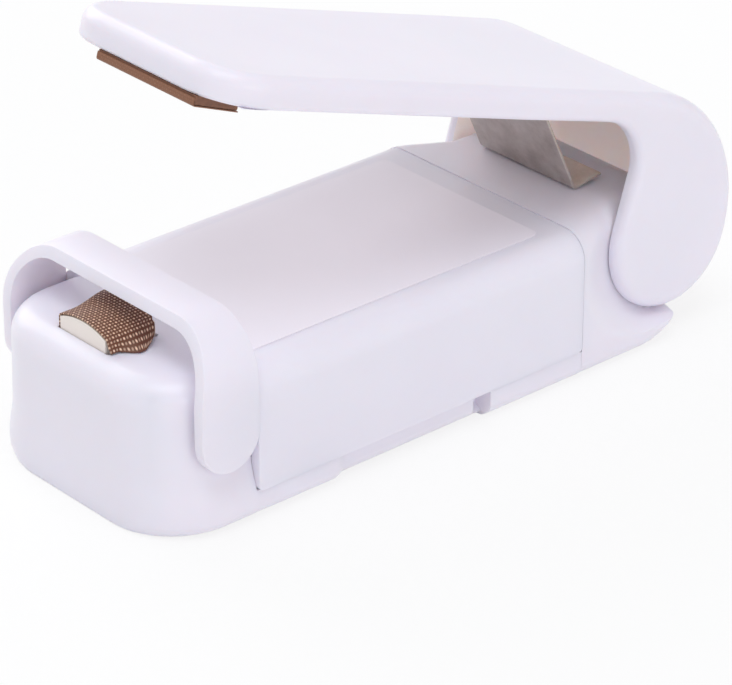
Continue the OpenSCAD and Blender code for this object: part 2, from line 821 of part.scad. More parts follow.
module lever_shell() {
    color("ghostwhite") in_frame() on_lever() difference() {
        union() {
            lever_plate();
            along(rim_x - eps, back_x) lever_section();
            // Curved back between the ears
            kept(back_x, big, 0, big) translate([back_x, 0, 0]) rotate([-90, 0, 0]) {
                rotate_extrude() translate([lever_top - lever_top_t, -ear_in_half - eps])
                    square([lever_top_t, 2 * (ear_in_half + eps)]);
            }
            kept(0, big, -back_drop, eps) difference() {
                cross_bar(ear_r, -ear_in_half - eps, ear_in_half + eps);
                cross_bar(ear_r - lever_top_t, -big / 2, big / 2);
            }
            both_sides() {
                // Upper rear of the ear, inside the curved back
                kept(back_x, big, 0, big) translate([back_x, 0, 0]) ear_disc(lever_top);
                // Round lower end
                kept(-big, big, -big, 0) ear_disc(ear_r);
                // Web between the round end and the rim
                translate([-ear_r, ear_in_half, 0])
                    cube([ear_r + back_x + eps, ear_t, rim_rise + eps]);
                // Hollow corner between rim and ear
                translate([-ear_r - ear_fillet_r, ear_in_half, rim_rise - ear_fillet_r])
                    difference() {
                        cube([ear_fillet_r + eps, ear_t, ear_fillet_r + eps]);
                        translate([0, -eps, 0]) cross_bar(ear_fillet_r, 0, ear_t + 2 * eps);
                    }
            }
        }
        // Seats of the hinge pins
        both_sides() cross_bar(hinge_pin_r + seat_clear, 0, ear_in_half + ear_pin_seat);
        // Seats of the rivets
        both_sides() translate([-rivet_x, rivet_gap / 2, lever_ceiling - eps])
            cylinder(r = rivet_r + seat_clear, h = rivet_seat + eps);
    }
}

module hinge_pins() {
    color("silver") in_frame() on_lever() both_sides()
        cross_bar(hinge_pin_r, block_half - hinge_pin_l, ear_in_half + ear_pin_seat);
}

module press_pad() {
    color("sienna") in_frame() on_lever()
        translate([film_t - lever_reach, -pad_shift - pad_w / 2, rim_rise - pad_t])
            cube([pad_l - film_t, pad_w, pad_t]);
}

// Tape under the press pad, folded up in front of it and loose behind it
module press_pad_film() {
    color("peru") in_frame() on_lever() translate([-lever_reach, -pad_shift, rim_rise]) across(pad_w / 2) {
        translate([0, -pad_t - film_t]) square([film_t, pad_t + film_t]);
        translate([0, -pad_t - film_t]) rotate(-film_droop) square([pad_l + film_tail, film_t]);
    }
}

module leaf_spring() {
    color("darkgray") in_frame() difference() {
        across(leaf_w / 2) {
            for (i = [0 : len(leaf_path) - 2]) strip_run(leaf_path[i], leaf_path[i + 1], leaf_t);
            for (i = [1 : len(leaf_path) - 2]) translate(leaf_path[i]) circle(leaf_t / 2);
        }
        on_lever() both_sides() translate([-rivet_x, rivet_gap / 2, lever_ceiling - leaf_t - eps])
            cylinder(r = rivet_r + seat_clear, h = leaf_t + 2 * eps);
    }
}

module spring_rivets() {
    color("silver") in_frame() on_lever() both_sides()
        translate([-rivet_x, rivet_gap / 2, lever_ceiling - leaf_t - rivet_head_t]) {
            cylinder(r = rivet_head_r, h = rivet_head_t);
            cylinder(r = rivet_r, h = rivet_head_t + leaf_t + rivet_seat - fit_gap);
        }
}

// Side outline of the guard, from its hinge up: round below, set back at the top's front
module guard_side() {
    half = guard_w / 2;
    high = guard_top - guard_z;
    circle(half);
    polygon([[-half, 0], [half, 0], [half, high], [guard_setback - half, high], [-half, guard_drop]]);
}

module guard_strap() {
    color("ghostwhite") in_frame() difference() {
        intersection() {
            along(guard_x - guard_w, guard_x + guard_w) difference() {
                round_topped(guard_half, guard_low, guard_top, guard_shoulder_r);
                round_topped(guard_in_half, guard_low - eps, guard_top - guard_bar_t,
                    guard_shoulder_r - guard_t);
            }
            across(guard_half) translate([guard_x, guard_z]) guard_side();
        }
        translate([guard_x, 0, guard_z]) both_sides()
            cross_bar(guard_pin_r + seat_clear, 0, guard_in_half + guard_pin_seat);
    }
}

module guard_pins() {
    color("silver") in_frame() translate([guard_x, 0, guard_z]) both_sides()
        cross_bar(guard_pin_r, guard_pin_in, guard_in_half + guard_pin_seat);
}

housing();
bottom_plate();
bottom_screws();
battery_cover();
label_film();
cell_left();
cell_right();
front_contact_positive();
front_contact_negative();
front_contact_spring();
rear_bridge_contact();
rear_contact_spring();
heater_block();
heater_ribbon();
heater_fabric();
terminal_clips();
plunger_springs();
lever_shell();
hinge_pins();
press_pad();
press_pad_film();
leaf_spring();
spring_rivets();
guard_strap();
guard_pins();
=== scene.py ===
# Mini bag sealer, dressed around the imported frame.
# Lengths are in millimetres from the nose's front face until a piece is set in place.

import math

import bmesh
import bpy
from mathutils import Matrix, Vector


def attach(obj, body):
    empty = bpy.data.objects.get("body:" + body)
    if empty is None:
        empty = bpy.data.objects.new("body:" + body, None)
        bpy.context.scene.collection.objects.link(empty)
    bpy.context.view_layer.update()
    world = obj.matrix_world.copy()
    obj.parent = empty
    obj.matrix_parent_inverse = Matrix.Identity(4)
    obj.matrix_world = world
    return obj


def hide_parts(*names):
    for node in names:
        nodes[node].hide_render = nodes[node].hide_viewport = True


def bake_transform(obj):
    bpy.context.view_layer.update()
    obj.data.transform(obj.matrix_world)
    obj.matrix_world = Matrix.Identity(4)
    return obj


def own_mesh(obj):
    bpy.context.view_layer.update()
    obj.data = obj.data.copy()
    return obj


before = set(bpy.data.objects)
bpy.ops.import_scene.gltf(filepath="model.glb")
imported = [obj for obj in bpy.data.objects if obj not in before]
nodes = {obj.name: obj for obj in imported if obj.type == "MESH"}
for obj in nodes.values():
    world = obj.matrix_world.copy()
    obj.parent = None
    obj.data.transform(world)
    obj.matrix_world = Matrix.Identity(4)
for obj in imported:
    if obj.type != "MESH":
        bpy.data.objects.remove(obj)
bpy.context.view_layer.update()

# Stations and heights shared by the pieces
ORIGIN_X = 46.904
NOSE_END = 13.4
BAY_END = 65.7
BODY_TOP = 19.95
NOSE_TOP = 19.65
STRIP_TOP = 3.9
FLOOR_TOP = 3.3
COVER_TOP = 19.83
COVER_HALF = 18.65
STRIP_HALF = 18.5
BLOCK_HALF = 14.8
BAY_HALF = 14.95
ROUND_X = 76.7
ROUND_R = 9.975
CREST_R = 6.0
HINGE_X = 83.4
HINGE_Z = 13.6
OPEN_ANGLE = math.radians(18.1)
HEATER_Y = 1.0
PAD_Y = -1.75
CELL_Y = 7.4
CELL_Z = 10.65

# Axes by name, and how close a point lies to count as on a face
ALONG, ACROSS, UP = range(3)
NEAR = 0.01

# Placing: from the nose's front face, or from the level lever's hinge, to the frame
BENCH = Matrix.Scale(0.001, 4) @ Matrix.Translation((-ORIGIN_X, 0, 0))
LEVER = BENCH @ Matrix.Translation((HINGE_X, 0, HINGE_Z)) @ Matrix.Rotation(OPEN_ANGLE, 4, "Y")
SIDEWAYS = Matrix.Rotation(math.pi / 2, 3, "X")


# Modelling helpers


def smoothstep(low, high, value):
    share = min(max((value - low) / (high - low), 0.0), 1.0)
    return share * share * (3 - 2 * share)


def add_box(bm, x0, x1, y0, y1, z0, z1):
    made = bmesh.ops.create_cube(bm, size=1)["verts"]
    bmesh.ops.scale(bm, vec=(x1 - x0, y1 - y0, z1 - z0), verts=made)
    bmesh.ops.translate(bm, vec=((x0 + x1) / 2, (y0 + y1) / 2, (z0 + z1) / 2), verts=made)


def add_cross_bar(bm, x, z, radius, y0, y1, segments):
    made = bmesh.ops.create_cone(
        bm, cap_ends=True, cap_tris=False, segments=segments,
        radius1=radius, radius2=radius, depth=y1 - y0,
    )["verts"]
    bmesh.ops.rotate(bm, cent=(0, 0, 0), matrix=SIDEWAYS, verts=made)
    bmesh.ops.translate(bm, vec=(x, (y0 + y1) / 2, z), verts=made)


def edges_at(bm, test):
    return [e for e in bm.edges if all(test(v.co) for v in e.verts)]


def runs_along(edge, axis):
    return abs((edge.verts[1].co - edge.verts[0].co).normalized()[axis]) > 0.9


def starts_before(edge, x):
    return min(v.co.x for v in edge.verts) < x


def round_edges(bm, edges, radius, segments):
    bmesh.ops.bevel(
        bm, geom=edges, offset=radius, offset_type="OFFSET", segments=segments,
        profile=0.5, affect="EDGES", material=-1, loop_slide=True,
    )


def round_corners(bm, verts, radius, segments):
    bmesh.ops.bevel(
        bm, geom=verts, offset=radius, offset_type="OFFSET", segments=segments,
        profile=0.5, affect="VERTICES", material=-1,
    )


def slice_at(bm, axis, places):
    normal = [0, 0, 0]
    normal[axis] = 1
    for place in places:
        everything = bm.verts[:] + bm.edges[:] + bm.faces[:]
        point = [place * n for n in normal]
        bmesh.ops.bisect_plane(bm, geom=everything, plane_co=point, plane_no=normal, dist=1e-4)


def run_to(bm, tip, point):
    grown = bmesh.ops.extrude_vert_indiv(bm, verts=[tip])["verts"][0]
    grown.co = point
    return grown


def turn_about(bm, tip, centre, axis, degrees, steps):
    swept = bmesh.ops.spin(
        bm, geom=[tip], cent=centre, axis=axis, angle=math.radians(degrees), steps=steps,
        use_merge=False, use_normal_flip=False, use_duplicate=False,
    )
    return [g for g in swept["geom_last"] if isinstance(g, bmesh.types.BMVert)][0]


def fill_outline(bm, first, last):
    bm.edges.new((last, first))
    bmesh.ops.edgenet_fill(bm, edges=bm.edges[:])


def close_holes(bm):
    open_edges = [e for e in bm.edges if e.is_boundary]
    if open_edges:
        bmesh.ops.holes_fill(bm, edges=open_edges)


def thicken_outline(bm, vector):
    grown = bmesh.ops.extrude_face_region(bm, geom=bm.faces[:])["geom"]
    moved = [g for g in grown if isinstance(g, bmesh.types.BMVert)]
    bmesh.ops.translate(bm, vec=vector, verts=moved)
    close_holes(bm)
    bmesh.ops.recalc_face_normals(bm, faces=bm.faces[:])


def sweep_chain(bm, vector, steps):
    edges = bm.edges[:]
    share = [v / steps for v in vector]
    for _ in range(steps):
        grown = bmesh.ops.extrude_edge_only(bm, edges=edges)["geom"]
        moved = [g for g in grown if isinstance(g, bmesh.types.BMVert)]
        ends = set(moved)
        edges = [g for g in grown if isinstance(g, bmesh.types.BMEdge) and set(g.verts) <= ends]
        bmesh.ops.translate(bm, vec=share, verts=moved)
    bmesh.ops.recalc_face_normals(bm, faces=bm.faces[:])


def to_object(bm, name):
    bmesh.ops.remove_doubles(bm, verts=bm.verts[:], dist=1e-5)
    bmesh.ops.recalc_face_normals(bm, faces=bm.faces[:])
    return sheet_object(bm, name)


def sheet_object(bm, name):
    mesh = bpy.data.meshes.new(name)
    bm.to_mesh(mesh)
    bm.free()
    made = bpy.data.objects.new(name, mesh)
    bpy.context.scene.collection.objects.link(made)
    return made


def apply_modifiers(obj):
    bpy.context.view_layer.update()
    seen = obj.evaluated_get(bpy.context.evaluated_depsgraph_get())
    mesh = bpy.data.meshes.new_from_object(seen)
    spent = obj.data
    obj.modifiers.clear()
    obj.data = mesh
    bpy.data.meshes.remove(spent)


def combine(obj, tool, how):
    step = obj.modifiers.new(how.lower(), "BOOLEAN")
    step.operation = how
    step.solver = "EXACT"
    step.object = tool
    apply_modifiers(obj)
    spent = tool.data
    bpy.data.objects.remove(tool)
    bpy.data.meshes.remove(spent)


def give_wall(obj, thickness, offset):
    step = obj.modifiers.new("wall", "SOLIDIFY")
    step.thickness = thickness
    step.offset = offset
    step.use_even_offset = True
    apply_modifiers(obj)


def soften(obj, width, segments, angle=40):
    step = obj.modifiers.new("soft edges", "BEVEL")
    step.width = width
    step.segments = segments
    step.limit_method = "ANGLE"
    step.angle_limit = math.radians(angle)
    step.profile = 0.5
    step.use_clamp_overlap = True
    apply_modifiers(obj)


def even_shading(obj):
    step = obj.modifiers.new("face weights", "WEIGHTED_NORMAL")
    step.mode = "FACE_AREA"
    step.keep_sharp = True
    apply_modifiers(obj)


def finish_piece(obj, place, finish, sharp=32):
    obj.data.transform(place)
    obj.data.materials.clear()
    obj.data.materials.append(finish)
    obj.data.shade_smooth()
    obj.data.set_sharp_from_angle(angle=math.radians(sharp))


def stand_for(obj, body, slot, *names):
    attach(obj, body)
    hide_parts(*names)


# Materials


class Finish:
    """A material being wired, with its shader and object coordinates."""

    def __init__(self, name):
        self.material = bpy.data.materials.new(name)
        self.material.use_nodes = True
        self.tree = self.material.node_tree
        self.shader = self.tree.nodes["Principled BSDF"]
        self.coords = self.tree.nodes.new("ShaderNodeTexCoord").outputs["Object"]

    def node(self, kind, **values):
        made = self.tree.nodes.new(kind)
        for key, value in values.items():
            if key in made.inputs:
                made.inputs[key].default_value = value
            else:
                setattr(made, key, value)
        return made

    def link(self, source, target):
        self.tree.links.new(source, target)

    def noise(self, scale, detail=2.0, rough=0.5, coords=None):
        made = self.node("ShaderNodeTexNoise", Scale=scale, Detail=detail, Roughness=rough)
        self.link(coords or self.coords, made.inputs["Vector"])
        return made.outputs["Fac"]

    def stretched(self, scale):
        made = self.node("ShaderNodeMapping")
        made.inputs["Scale"].default_value = scale
        self.link(self.coords, made.inputs["Vector"])
        return made.outputs["Vector"]

    def tones(self, factor, stops):
        ramp = self.node("ShaderNodeValToRGB")
        elements = ramp.color_ramp.elements
        while len(elements) < len(stops):
            elements.new(0.5)
        for element, (position, colour) in zip(elements, stops):
            element.position = position
            element.color = (*colour, 1)
        self.link(factor, ramp.inputs["Fac"])
        return ramp.outputs["Color"]

    def spread(self, factor, low, high, start=0.3, end=0.7):
        made = self.node("ShaderNodeMapRange")
        made.inputs["From Min"].default_value = start
        made.inputs["From Max"].default_value = end
        made.inputs["To Min"].default_value = low
        made.inputs["To Max"].default_value = high
        self.link(factor, made.inputs["Value"])
        return made.outputs["Result"]

    def product(self, first, second):
        made = self.node("ShaderNodeMath", operation="MULTIPLY")
        self.link(first, made.inputs[0])
        self.link(second, made.inputs[1])
        return made.outputs["Value"]

    def mixed(self, factor, first, second):
        made = self.node("ShaderNodeMix", data_type="RGBA")
        ends = [s for s in made.inputs if s.type == "RGBA"]
        self.link(factor, made.inputs["Factor"])
        self.link(first, ends[0])
        ends[1].default_value = (*second, 1)
        return [s for s in made.outputs if s.type == "RGBA"][0]

    def bump(self, height, strength, distance):
        made = self.node("ShaderNodeBump", Strength=strength, Distance=distance)
        self.link(height, made.inputs["Height"])
        self.link(made.outputs["Normal"], self.shader.inputs["Normal"])

    def set(self, **sockets):
        for key, value in sockets.items():
            socket = self.shader.inputs[key.replace("_", " ")]
            if isinstance(value, bpy.types.NodeSocket):
                self.link(value, socket)
            else:
                socket.default_value = value


def moulded_plastic(name, pale, deep, rough, grain, grain_depth, depth=0.25, reach=0.003):
    """A faint mottle, uneven gloss, a fine grain, and light that goes a little below the skin."""
    made = Finish(name)
    mottle = made.noise(55, 3)
    made.set(Base_Color=made.tones(mottle, [(0.3, deep), (0.7, pale)]))
    gloss = made.noise(90, 3)
    made.set(Roughness=made.spread(gloss, rough - 0.02, rough + 0.03))
    made.set(Specular_IOR_Level=0.45, Subsurface_Weight=depth, Subsurface_Scale=reach)
    made.set(Subsurface_Radius=(1.0, 0.6, 0.5))
    made.bump(made.noise(grain, 2), 0.05, grain_depth)
    return made.material


def drawn_metal(name, pale, deep, rough, along):
    """Fine streaks in the direction that the metal was drawn, turned or stamped."""
    made = Finish(name)
    streaks = made.noise(1, 4, 0.6, made.stretched(along))
    made.set(Base_Color=made.tones(streaks, [(0.3, deep), (0.7, pale)]))
    made.set(Roughness=made.spread(streaks, rough - 0.07, rough + 0.1), Metallic=1.0)
    made.bump(streaks, 0.15, 0.00002)
    return made.material


gloss_white = moulded_plastic(
    "gloss_white", (0.90, 0.857, 0.955), (0.88, 0.837, 0.935), rough=0.3, grain=2600, grain_depth=0.000012,
)
satin_white = moulded_plastic(
    "satin_white", (0.80, 0.78, 0.84), (0.77, 0.75, 0.815), rough=0.5, grain=5200, grain_depth=0.00004,
)
# Painted light: a paler, warmer copy of the white plastic for the lever's inner faces. It stands in for
# the warm glow of light shining through the thin walls and bouncing inside. Its deep subsurface scattering
# lets real light through as well.
painted_glow_white = moulded_plastic(
    "painted_glow_white", (0.97, 0.91, 0.90), (0.955, 0.895, 0.885), rough=0.45, grain=2600, grain_depth=0.00002,
    depth=1.0, reach=0.01,
)
film_clear = moulded_plastic(
    "film_clear", (0.92, 0.88, 0.96), (0.90, 0.86, 0.94), rough=0.34, grain=160, grain_depth=0.00004,
    depth=0.0,
)
heater_cream = moulded_plastic(
    "heater_cream", (0.97, 0.90, 0.84), (0.92, 0.85, 0.78), rough=0.62, grain=3800, grain_depth=0.00003,
    depth=0.0,
)
spring_wire = drawn_metal(
    "spring_wire", (0.66, 0.66, 0.68), (0.50, 0.50, 0.53), rough=0.3, along=(900, 900, 4000),
)
turned_steel = drawn_metal(
    "turned_steel", (0.68, 0.68, 0.70), (0.54, 0.54, 0.57), rough=0.32, along=(4000, 700, 4000),
)
stamped_brass = drawn_metal(
    "stamped_brass", (0.80, 0.62, 0.30), (0.66, 0.49, 0.21), rough=0.34, along=(600, 4000, 600),
)
ribbon_alloy = drawn_metal(
    "ribbon_alloy", (0.45, 0.44, 0.43), (0.33, 0.32, 0.31), rough=0.42, along=(3000, 500, 500),
)
cell_sleeve = drawn_metal(
    "cell_sleeve", (0.42, 0.46, 0.54), (0.30, 0.34, 0.42), rough=0.34, along=(2500, 250, 250),
)


def tempered_leaf():
    made = Finish("leaf_steel")
    patches = made.noise(330, 5, 0.65)
    streaks = made.noise(1, 3, 0.6, made.stretched((500, 6000, 500)))
    made.set(Base_Color=made.tones(patches, [
        (0.25, (0.38, 0.33, 0.30)), (0.5, (0.52, 0.47, 0.44)), (0.75, (0.64, 0.60, 0.57)),
    ]))
    made.set(Roughness=made.spread(patches, 0.38, 0.58), Metallic=0.75)
    made.bump(streaks, 0.2, 0.00003)
    return made.material


def rubber_pad():
    made = Finish("pad_rubber")
    specks = made.noise(2400, 4)
    made.set(Base_Color=made.tones(specks, [(0.3, (0.17, 0.075, 0.045)), (0.7, (0.24, 0.11, 0.065))]))
    made.set(Roughness=made.spread(specks, 0.62, 0.78))
    made.bump(specks, 0.3, 0.00003)
    return made.material


def glass_cloth(name, ground, dot, knot_start, pitch, fade):
    """A plain weave: pale knots one pitch apart, every other one weaker."""
    made = Finish(name)
    own = made.tree.nodes.new("ShaderNodeUVMap").outputs["UV"]
    bands = []
    for direction in ("X", "Y", "DIAGONAL"):
        wave = made.node("ShaderNodeTexWave", bands_direction=direction, wave_profile="SIN")
        wave.inputs["Scale"].default_value = math.pi / (10 * pitch)
        made.link(own, wave.inputs["Vector"])
        bands.append(wave.outputs["Fac"])
    knots = made.product(made.product(bands[0], bands[1]), made.spread(bands[2], 0.5, 1.0, 0.0, 1.0))
    wear = made.noise(420, 4)
    shade = made.tones(knots, [(knot_start, ground), (0.8, dot)])
    made.set(Base_Color=made.mixed(made.spread(wear, 0.0, 0.35, 0.45, 0.75), shade, fade))
    made.set(Roughness=made.spread(wear, 0.42, 0.6))
    made.bump(knots, 0.5, 0.00005)
    return made.material


UV_SPAN = 20.0
leaf_steel = tempered_leaf()
pad_rubber = rubber_pad()
heater_cloth = glass_cloth(
    "heater_cloth", (0.125, 0.036, 0.013), (1.0, 0.72, 0.52), knot_start=0.12, pitch=0.457 / UV_SPAN,
    fade=(0.27, 0.115, 0.06),
)
pad_tape = glass_cloth(
    "pad_tape", (0.25, 0.105, 0.055), (0.33, 0.15, 0.085), knot_start=0.2, pitch=0.35 / UV_SPAN,
    fade=(0.29, 0.125, 0.068),
)


# Housing: nose, base strip and rear block as one moulding

NOSE_DRAFT = 0.0458
NOSE_ROUND = 9.0
NOSE_EDGE = 3.0
NOSE_ROOM = 13.0
NOSE_ROOF = 18.05
FLARE_LOW, FLARE_HIGH = 2.5, 8.0
FLARE_END = 18.0
FOOT_HIGH = 1.8
FOOT_IN = 2.0
LAYER = 0.3
STATION = 0.5
RECESS_START, RECESS_END = 25.4, 50.2
RECESS_IN = 0.75
NOTCH_IN = 1.8
SCOOP_R = 10.25
SCOOP_STEEP, SCOOP_LONG = 0.6, 6.6
KNUCKLE_R = 4.5
WALL_OUT, WALL_TOP = 16.25, 12.3
POST_OUT, POST_TOP = 17.12, 8.0
POST_HALF = 1.8
PLATE_TOP = 1.6
PLATE_HALF = 15.0
PLATE_ROUND = 7.4
SLOT_START, SLOT_END = 3.2, 10.8
SLOT_HALF = 4.85


def foot_share(depth):
    """How much of the foot's draw-in is left this far from the lower edge."""
    return max(1 - depth / FOOT_HIGH, 0.0) ** 2


def nose_half_at(z):
    return STRIP_HALF - NOSE_DRAFT * z - smoothstep(FLARE_LOW, FLARE_HIGH, z) - FOOT_IN * foot_share(z)


def nose_shape():
    bm = bmesh.new()
    half = nose_half_at(NOSE_TOP)
    add_box(bm, 0, NOSE_END, -half, half, 0, NOSE_TOP)
    upright = [e for e in edges_at(bm, lambda p: p.x < NEAR) if runs_along(e, UP)]
    round_edges(bm, upright, NOSE_ROUND, 14)
    slice_at(bm, UP, [LAYER * i for i in range(1, 7)] + [2 + 2 * LAYER * i for i in range(1, 24)])
    for vert in bm.verts:
        vert.co.y *= nose_half_at(vert.co.z) / half
    rear = NOSE_END - NEAR
    top = [e for e in edges_at(bm, lambda p: p.z > NOSE_TOP - NEAR) if starts_before(e, rear)]
    round_edges(bm, top, NOSE_EDGE, 7)
    low = [e for e in edges_at(bm, lambda p: p.z < NEAR) if starts_before(e, rear)]
    round_edges(bm, low, 0.4, 3)
    return to_object(bm, "housing_shell")


def strip_half_at(x, z):
    """Half width of the strip: drawn-in foot, finger recess and the nail notch at its rear end."""
    beside_nose = nose_half_at(max(z, FOOT_HIGH)) - 0.02 - STRIP_HALF
    foot = (FOOT_IN - 0.5 * smoothstep(49, 51, x)) * foot_share(z)
    notch = NOTCH_IN * smoothstep(48, 49.6, x) * smoothstep(0.4, 1.6, z)
    recess = (RECESS_IN + notch) * smoothstep(RECESS_START, RECESS_START + 2, x) * (x < RECESS_END)
    within_rear = 0.6 * (x > BAY_END)
    past_nose = smoothstep(NOSE_END, FLARE_END, x)
    return STRIP_HALF + beside_nose * (1 - past_nose) - foot - recess - within_rear


def strip_shape():
    bm = bmesh.new()
    x0, x1 = NOSE_END - 0.4, BAY_END + 0.8
    add_box(bm, x0, x1, -STRIP_HALF, STRIP_HALF, 0, STRIP_TOP)
    slice_at(bm, UP, [LAYER * i for i in range(1, 13)])
    stations = [x0 + STATION * i for i in range(1, int((x1 - x0) / STATION))]
    slice_at(bm, ALONG, stations + [RECESS_END - 0.05, RECESS_END + 0.05, BAY_END - 0.02, BAY_END + 0.04])
    for vert in bm.verts:
        if abs(vert.co.y) > 10:
            vert.co.y = math.copysign(strip_half_at(vert.co.x, vert.co.z), vert.co.y)
    return to_object(bm, "strip")


def rear_depth(x, z):
    """How far a point of the rear block's side lies within its outline."""
    end = ROUND_X + ROUND_R
    if z < ROUND_R:
        return z if x < ROUND_X else ROUND_R - math.hypot(x - ROUND_X, z - ROUND_R)
    if x > end - CREST_R and z > BODY_TOP - CREST_R:
        return CREST_R - math.hypot(x - end + CREST_R, z - BODY_TOP + CREST_R)
    return min(BODY_TOP - z, end - x)


def rear_half_at(x, z):
    """Half width of the rear block: scooped round the ears, soft at the rear, drawn in at the foot."""
    fall = max(HINGE_Z - z, 0.0)
    away = math.hypot(HINGE_X - x, fall)
    ahead = 1 - fall * fall / max(away * away, 1e-6)
    wide = STRIP_HALF + 0.1 * smoothstep(3, 5, z)
    climb = min(max((away - SCOOP_R) / (SCOOP_STEEP + SCOOP_LONG * ahead), 0.0), 1.0)
    climb += 0.35 * (smoothstep(0, 1, climb) - climb)
    half = BLOCK_HALF + (wide - BLOCK_HALF) * climb
    inside = rear_depth(x, z)
    reach = 0.2 + 3.3 * smoothstep(6, 14, z)
    short = min(max(reach - inside, 0.0), reach)
    foot = 1.6 * foot_share(inside) * (1 - smoothstep(6, 12, z))
    return half - foot - reach + math.sqrt(reach * reach - short * short)


def rear_sides():
    bm = bmesh.new()
    cells = 64
    span = 24
    made = bmesh.ops.create_grid(bm, x_segments=cells, y_segments=cells, size=0.5)["verts"]
    bmesh.ops.rotate(bm, cent=(0, 0, 0), matrix=SIDEWAYS, verts=made)
    bmesh.ops.scale(bm, vec=(span, 1, span), verts=made)
    bmesh.ops.translate(bm, vec=(65 + span / 2, -1, 9.9), verts=made)
    thicken_outline(bm, (0, 2, 0))
    for vert in bm.verts:
        vert.co.y = math.copysign(rear_half_at(vert.co.x, vert.co.z), vert.co.y)
    return to_object(bm, "rear_sides")


def rear_outline():
    bm = bmesh.new()
    end_x = ROUND_X + ROUND_R
    add_box(bm, BAY_END, end_x, -22, 22, 0, BODY_TOP)
    for height, radius in ((0, ROUND_R - 0.025), (BODY_TOP, CREST_R)):
        ends = edges_at(bm, lambda p: p.x > end_x - NEAR and abs(p.z - height) < NEAR)
        round_edges(bm, ends, radius, 24)
    return to_object(bm, "rear_outline")


def rear_block():
    block = rear_sides()
    combine(block, rear_outline(), "INTERSECT")
    return block


def knuckle():
    bm = bmesh.new()
    half = BLOCK_HALF - 0.3
    add_cross_bar(bm, HINGE_X, HINGE_Z, KNUCKLE_R, -half, half, 48)
    ends = [e for e in bm.edges if not runs_along(e, ACROSS)]
    round_edges(bm, ends, 0.5, 3)
    return to_object(bm, "knuckle")


def bay_walls():
    bm = bmesh.new()
    x0, x1 = NOSE_END - 0.7, BAY_END + 0.7
    for side in (-1, 1):
        add_box(bm, x0, x1, side * (BAY_HALF + 0.02), side * WALL_OUT, FLOOR_TOP - 1, WALL_TOP)
    return to_object(bm, "bay_walls")


def bay_posts():
    bm = bmesh.new()
    for side in (-1, 1):
        y0, y1 = side * (BAY_HALF + 0.5), side * POST_OUT
        for x in (NOSE_END, BAY_END):
            add_box(bm, x - POST_HALF, x + POST_HALF, y0, y1, FLOOR_TOP - 0.8, POST_TOP)
    return to_object(bm, "bay_posts")


def bay_cutter():
    bm = bmesh.new()
    add_box(bm, NOSE_END, BAY_END, -BAY_HALF, BAY_HALF, FLOOR_TOP, 40)
    return to_object(bm, "bay_cutter")


def plate_cutter():
    bm = bmesh.new()
    add_box(bm, 1.6, ROUND_X - 1.5, -PLATE_HALF, PLATE_HALF, -2, PLATE_TOP)
    upright = [e for e in edges_at(bm, lambda p: p.x < 2) if runs_along(e, UP)]
    round_edges(bm, upright, PLATE_ROUND, 10)
    return to_object(bm, "plate_cutter")


def nose_cutter():
    bm = bmesh.new()
    add_box(bm, 2.4, NOSE_END - 1.2, -NOSE_ROOM, NOSE_ROOM, 1.5, NOSE_ROOF)
    return to_object(bm, "nose_cutter")


def slot_cutter():
    bm = bmesh.new()
    add_box(bm, SLOT_START, SLOT_END, HEATER_Y - SLOT_HALF, HEATER_Y + SLOT_HALF, 17, 30)
    upright = [e for e in bm.edges if runs_along(e, UP)]
    round_edges(bm, upright, 0.3, 3)
    return to_object(bm, "slot_cutter")


def make_housing():
    shell = nose_shape()
    for part in (strip_shape, rear_block, knuckle):
        combine(shell, part(), "UNION")
    for cutter in (bay_cutter, plate_cutter, nose_cutter, slot_cutter):
        combine(shell, cutter(), "DIFFERENCE")
    combine(shell, bay_walls(), "UNION")
    combine(shell, bay_posts(), "UNION")
    finish_piece(shell, BENCH, gloss_white)
    stand_for(shell, "body", "white_shell", "housing")


# Battery cover: a saddle with soft rims, and the film on it

COVER_GAP = 0.03
COVER_WALL = 1.5
COVER_ROUND = 3.5
FILM_START, FILM_END = 15.05, 62.05
FILM_HALF = 14.25
FILM_THICK = 0.12


def make_cover():
    bm = bmesh.new()
    low = STRIP_TOP + COVER_GAP
    front, back = NOSE_END + COVER_GAP, BAY_END - COVER_GAP
    first = bm.verts.new((front, -COVER_HALF, low))
    left = run_to(bm, first, (front, -COVER_HALF, COVER_TOP))
    right = run_to(bm, left, (front, COVER_HALF, COVER_TOP))
    run_to(bm, right, (front, COVER_HALF, low))
    round_corners(bm, [left, right], COVER_ROUND, 10)
    sweep_chain(bm, (back - front, 0, 0), 1)
    if max(bm.faces, key=lambda f: f.calc_center_median().z).normal.z < 0:
        bmesh.ops.reverse_faces(bm, faces=bm.faces[:])
    round_corners(bm, [v for v in bm.verts if v.co.z < low + NEAR], 0.7, 5)
    cover = sheet_object(bm, "battery_cover_saddle")
    give_wall(cover, COVER_WALL, -1)
    soften(cover, 0.1, 3)
    finish_piece(cover, BENCH, gloss_white)
    stand_for(cover, "cover", "white_shell", "battery_cover")


def make_label():
    bm = bmesh.new()
    add_box(bm, FILM_START, FILM_END, -FILM_HALF, FILM_HALF, COVER_TOP, COVER_TOP + FILM_THICK)
    upright = [e for e in bm.edges if runs_along(e, UP)]
    round_edges(bm, upright, 1.0, 5)
    film = to_object(bm, "label_sheet")
    finish_piece(film, BENCH, film_clear)
    stand_for(film, "cover", "label_film", "label_film")


# Lever: top plate with rims, curved back and two ears

LEVER_REACH = 80.3
LEVER_TOP = 18.25
RIM_LOW = 14.4
RIM_X = -17.0
BACK_X = -8.25
EAR_R = 10.0
LEVER_HALF = 16.95
LEVER_DRAFT = 0.02133
LEVER_EDGE = 1.8
FRONT_ROUND = 7.5
FILLET_R = 7.0
CORNER_SHARE = 0.65
CEILING = 16.35
HOLLOW_START, HOLLOW_END = -70.8, 8.1
HOLLOW_HALF = 15.05
HOLLOW_LOW = -1.5


